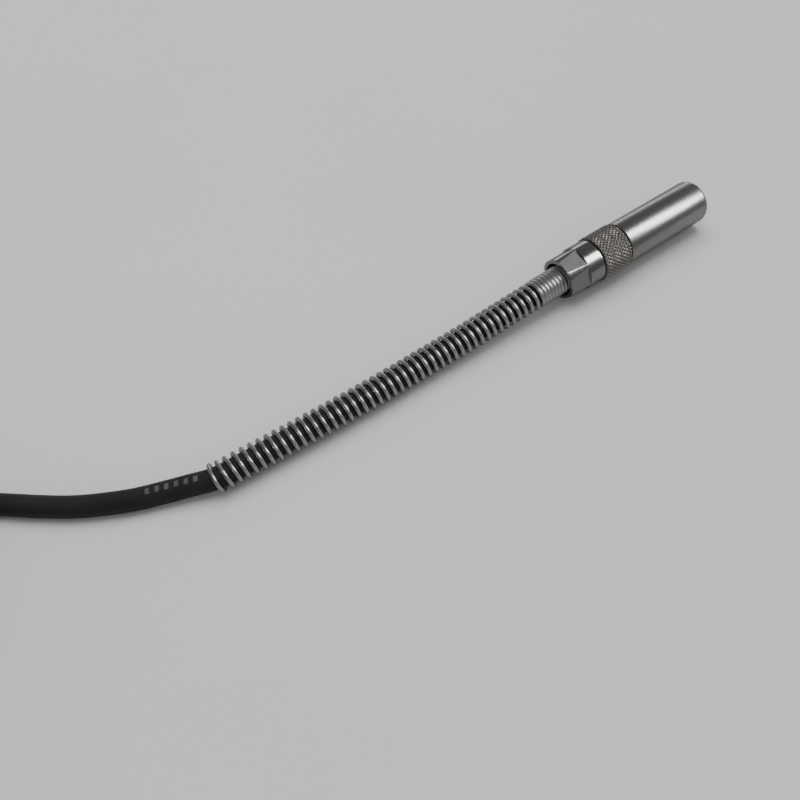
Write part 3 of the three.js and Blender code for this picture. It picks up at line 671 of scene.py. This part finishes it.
def catmull_rom(points, per_span):
    """The uniform Catmull-Rom curve through the points, with the ends carried straight on."""
    p = np.array(points, float)
    p = np.vstack([2 * p[0] - p[1], p, 2 * p[-1] - p[-2]])
    made = []
    for i in range(1, len(p) - 2):
        start = (p[i + 1] - p[i - 1]) / 2
        end = (p[i + 2] - p[i]) / 2
        cubic = 2 * p[i] - 2 * p[i + 1] + start + end
        square = -3 * p[i] + 3 * p[i + 1] - 2 * start - end
        for k in range(per_span):
            t = k / per_span
            made.append(((cubic * t + square) * t + start) * t + p[i])
    made.append(p[-2])
    return np.array(made)


def ease(t):
    """A share from 0 to 1 that starts and ends gently."""
    return (1 - math.cos(math.pi * min(max(t, 0), 1))) / 2


def coil_point(degrees, radius, z):
    """A point round the coil's middle."""
    a = math.radians(degrees)
    return COIL_X + radius * math.cos(a), COIL_Y + radius * math.sin(a), z


def coil_points():
    """The turns beside and on each other, then the tail that climbs to the plug."""
    made = []
    angle = COIL_ENTRY_DEG
    radius = TRACK_RADIUS
    height = FIRST_LAYER_Z
    for degrees, outwards, rise in COIL_LEGS:
        steps = max(1, round(degrees / STEP_DEG))
        for k in range(1, steps + 1):
            share = ease(k / steps)
            r = radius + TURN_PITCH * outwards * share
            made.append(coil_point(angle + degrees * k / steps, r, height + TURN_PITCH * rise * share))
        angle += degrees
        radius += TURN_PITCH * outwards
        height += TURN_PITCH * rise
    for k in range(1, TAIL_DEG // STEP_DEG + 1):
        degrees = k * STEP_DEG
        spread = ease((degrees - (TAIL_DEG - SPREAD_DEG)) / SPREAD_DEG)
        r = radius + (PLUG_X - COIL_X - radius) * spread
        z = height + (PLUG_MIDDLE_Z - height) * ease(degrees / RISE_DEG)
        made.append(coil_point(angle + degrees, r, z))
    for k in range(1, PLUG_STEPS + 1):
        made.append((PLUG_X, COIL_Y + (TAIL_HIGH.y - COIL_Y) * k / PLUG_STEPS, PLUG_MIDDLE_Z))
    return made


def build_lead(jacket):
    """The whole lead as one round cord. Returns it and the path that it follows."""
    path = np.vstack([catmull_rom(ROUTE, LEAD_STEPS_PER_SPAN), coil_points()])
    lead = sweep("lead", path, LEAD_RADIUS, LEAD_SIDES, sharp_deg=60)
    dress(lead, [jacket], "gland", "cable_jacket", "cable_run", "cable_coil", "cable_tail")
    return lead, path


# ---- Strain relief spring ----

SPRING_START = 0.0058
SPRING_RADIUS = 0.00375
WIRE_RADIUS = 0.00056
WIRE_SIDES = 12
STEPS_PER_TURN = 40
CLOSED_PITCH = 0.0012
CLOSED_TURNS = 12
OPEN_TURNS = 45.25
PITCH_NEAR = 0.0022
PITCH_FAR = 0.00241
CENTRE_STEPS_PER_SPAN = 40


def spring_distance(turns):
    """How far along the lead the wire has come after a number of turns. The open pitch grows evenly."""
    if turns <= CLOSED_TURNS:
        return turns * CLOSED_PITCH
    growth = math.log(PITCH_FAR / PITCH_NEAR) / OPEN_TURNS
    run = (math.exp((turns - CLOSED_TURNS) * growth) - 1) / growth
    return CLOSED_TURNS * CLOSED_PITCH + PITCH_NEAR * run


def build_spring(wire):
    """Round wire wound right-handed round the lead: close at the gland, open beyond."""
    centre = catmull_rom(ROUTE, CENTRE_STEPS_PER_SPAN)
    along = np.concatenate([[0], np.cumsum(np.linalg.norm(np.diff(centre, axis=0), axis=1))])
    forward = np.gradient(centre, axis=0)
    steps = round(STEPS_PER_TURN * (CLOSED_TURNS + OPEN_TURNS))
    path = []
    for i in range(steps + 1):
        turns = i * (CLOSED_TURNS + OPEN_TURNS) / steps
        at = SPRING_START + spring_distance(turns)
        place = Vector([np.interp(at, along, centre[:, k]) for k in range(3)])
        ahead = Vector([np.interp(at, along, forward[:, k]) for k in range(3)]).normalized()
        up = (Vector((0, 0, 1)) - ahead * ahead.z).normalized()
        side = ahead.cross(up)
        a = 2 * math.pi * turns
        path.append(place + SPRING_RADIUS * (math.cos(a) * up + math.sin(a) * side))
    spring = sweep("relief_spring_wire", path, WIRE_RADIUS, WIRE_SIDES, sharp_deg=60)
    return dress(spring, [wire], "gland", "spring_steel", "strain_relief_spring")


# ---- CAD nodes that keep their shape ----

NODE_SHARP_DEG = 35
BEVEL_SHARP_DEG = 40
BEVEL_SEGMENTS = 3
WELD_DISTANCE = 1e-6
PLUG_EDGE = 0.25 * MM
TIE_EDGE = 0.15 * MM
PIN_EDGE = 0.1 * MM
SCREW_EDGE = 0.06 * MM
BEAD_COUNT = 4


def finish_node(node, material, bevel=0.0):
    """Gives a CAD node its material, smooth turned faces and, where asked, softened edges."""
    piece = frame["nodes"][node]
    piece.data.materials.clear()
    piece.data.materials.append(material)
    piece.data.shade_smooth()
    piece.data.set_sharp_from_angle(angle=math.radians(NODE_SHARP_DEG))
    weld = piece.modifiers.new("weld", "WELD")
    weld.merge_threshold = WELD_DISTANCE
    if bevel:
        edge = piece.modifiers.new("bevel", "BEVEL")
        edge.width = bevel
        edge.segments = BEVEL_SEGMENTS
        edge.limit_method = "ANGLE"
        edge.angle_limit = math.radians(BEVEL_SHARP_DEG)
        edge.harden_normals = True


# ---- Floor and light ----

FLOOR_REACH = 12.0
WORLD_DIFFUSE = 0.6
WORLD_GLOSSY = 0.1


def add_floor():
    """A plain pale floor, which reflections see darker, so that the steel keeps its contrast."""
    mesh = bpy.data.meshes.new("floor")
    signs = ((-1, -1), (1, -1), (1, 1), (-1, 1))
    mesh.from_pydata([(x * FLOOR_REACH, y * FLOOR_REACH, 0) for x, y in signs], [], [(0, 1, 2, 3)])
    floor = bpy.data.objects.new("floor", mesh)
    SCENE.collection.objects.link(floor)
    m = Nodes("floor_surface", Roughness=0.55, Specular_IOR_Level=0.3)
    pale = m.colours(m.grain(9, roughness=0.5), (0.54, 0.54, 0.535), (0.58, 0.58, 0.575))
    in_reflection = m.add("ShaderNodeLightPath").outputs["Is Glossy Ray"]
    m.to_shader("Base Color", m.colours(in_reflection, pale, (0.17, 0.17, 0.165)))
    mesh.materials.append(m.material)


def add_panel(name, direction, distance, size, power, glossy):
    """A soft rectangular light that faces the head. It lights either the gloss or everything else."""
    data = bpy.data.lights.new(name, "AREA")
    data.shape = "RECTANGLE"
    data.size, data.size_y = size
    data.energy = power
    panel = bpy.data.objects.new(name, data)
    SCENE.collection.objects.link(panel)
    away = Vector(direction).normalized()
    panel.location = away * distance + Vector((0, 0, AXIS_Z))
    panel.rotation_mode = "QUATERNION"
    panel.rotation_quaternion = away.to_track_quat("Z", "Y")
    panel.visible_diffuse = not glossy
    panel.visible_glossy = glossy
    panel.visible_camera = False


def add_world():
    """A white surround, weaker in reflections than it is as light."""
    world = bpy.data.worlds.new("studio")
    SCENE.world = world
    world.use_nodes = True
    nodes = world.node_tree.nodes
    links = world.node_tree.links
    background = nodes["Background"]
    background.inputs["Color"].default_value = (1, 1, 1, 1)
    level = nodes.new("ShaderNodeMapRange")
    level.inputs["To Min"].default_value = WORLD_DIFFUSE
    level.inputs["To Max"].default_value = WORLD_GLOSSY
    links.new(nodes.new("ShaderNodeLightPath").outputs["Is Glossy Ray"], level.inputs["Value"])
    links.new(level.outputs["Result"], background.inputs["Strength"])


# ---- Build ----

add_camera()
lead, lead_path = build_lead(cable_jacket())

steel = turned_steel("turned_steel", 0.26, 0.3)
polished = turned_steel("polished_steel", 0.15, 0.21)
painted_bore_shade = painted_bore_shade_steel()
wire = spring_steel()
build_gland(polished, milled_steel(), painted_bore_shade)
build_nut(knurled_steel(KNURL_ROOT, KNURL_RADIUS))
build_barrel(steel, painted_bore_shade)
spring = build_spring(wire)

rubber = moulded("seal_rubber", (0.012, 0.012, 0.012), (0.02, 0.02, 0.02), 0.7)
ceramic = moulded("alumina", (0.74, 0.7, 0.6), (0.83, 0.8, 0.71), 0.55)
white_core = moulded("core_white", (0.74, 0.73, 0.69), (0.82, 0.81, 0.78), 0.45)
red_core = moulded("core_red", (0.34, 0.02, 0.015), (0.43, 0.035, 0.025), 0.45)
iron = moulded("iron_alloy", (0.3, 0.29, 0.28), (0.38, 0.37, 0.36), 0.35, metallic=1.0)
constantan = moulded("constantan", (0.4, 0.36, 0.28), (0.48, 0.43, 0.34), 0.33, metallic=1.0)
brass = moulded("brass", (0.58, 0.41, 0.15), (0.68, 0.5, 0.22), 0.28, metallic=1.0)
plastic = moulded(
    "plug_plastic", (0.014, 0.015, 0.016), (0.024, 0.025, 0.027), 0.5, cells=2600, depth=30 * MICRON
)
nylon = moulded("tie_nylon", (0.02, 0.02, 0.02), (0.032, 0.032, 0.032), 0.45, cells=2200)

INNER_NODES = {
    "retaining_ring": wire,
    "barrel_seal": rubber,
    "cable_grommet": rubber,
    "grommet_washer": steel,
    "tip_slug": brass,
    "junction_bead": constantan,
    "core_positive": white_core,
    "core_negative": red_core,
    "splice_crimp_positive": steel,
    "splice_crimp_negative": steel,
    "splice_sleeve_positive": white_core,
    "splice_sleeve_negative": red_core,
    "thermoelement_positive": iron,
    "thermoelement_negative": constantan,
}
for node, material in INNER_NODES.items():
    finish_node(node, material)
for number in range(1, BEAD_COUNT + 1):
    finish_node(f"ceramic_bead_{number}", ceramic)

# What the lead carries: each node's material and the width of its softened edges.
LEAD_NODES = {
    "plug_base": (plastic, PLUG_EDGE),
    "plug_cover": (plastic, PLUG_EDGE),
    "clamp_jaw_lower": (plastic, PLUG_EDGE),
    "clamp_jaw_upper": (plastic, PLUG_EDGE),
    "plug_pin_positive": (iron, PIN_EDGE),
    "plug_pin_negative": (constantan, PIN_EDGE),
    "terminal_screw_positive": (brass, 0),
    "terminal_screw_negative": (brass, 0),
    "cover_screw": (steel, SCREW_EDGE),
    "clamp_screw_1": (steel, SCREW_EDGE),
    "clamp_screw_2": (steel, SCREW_EDGE),
    "coil_tie_1": (nylon, TIE_EDGE),
    "coil_tie_2": (nylon, TIE_EDGE),
}
for node, (material, bevel) in LEAD_NODES.items():
    finish_node(node, material, bevel)

add_floor()
add_world()
add_panel("key", (0.02, 0.28, 0.95), 1.4, size=(1.1, 1.1), power=20.0, glossy=False)
add_panel("softbox", (0.595, -0.352, 0.722), 1.3, size=(0.44, 0.9), power=8.6, glossy=True)
add_panel("window", (0.55, 0.83, 0.12), 1.5, size=(1.6, 0.28), power=1.7, glossy=True)
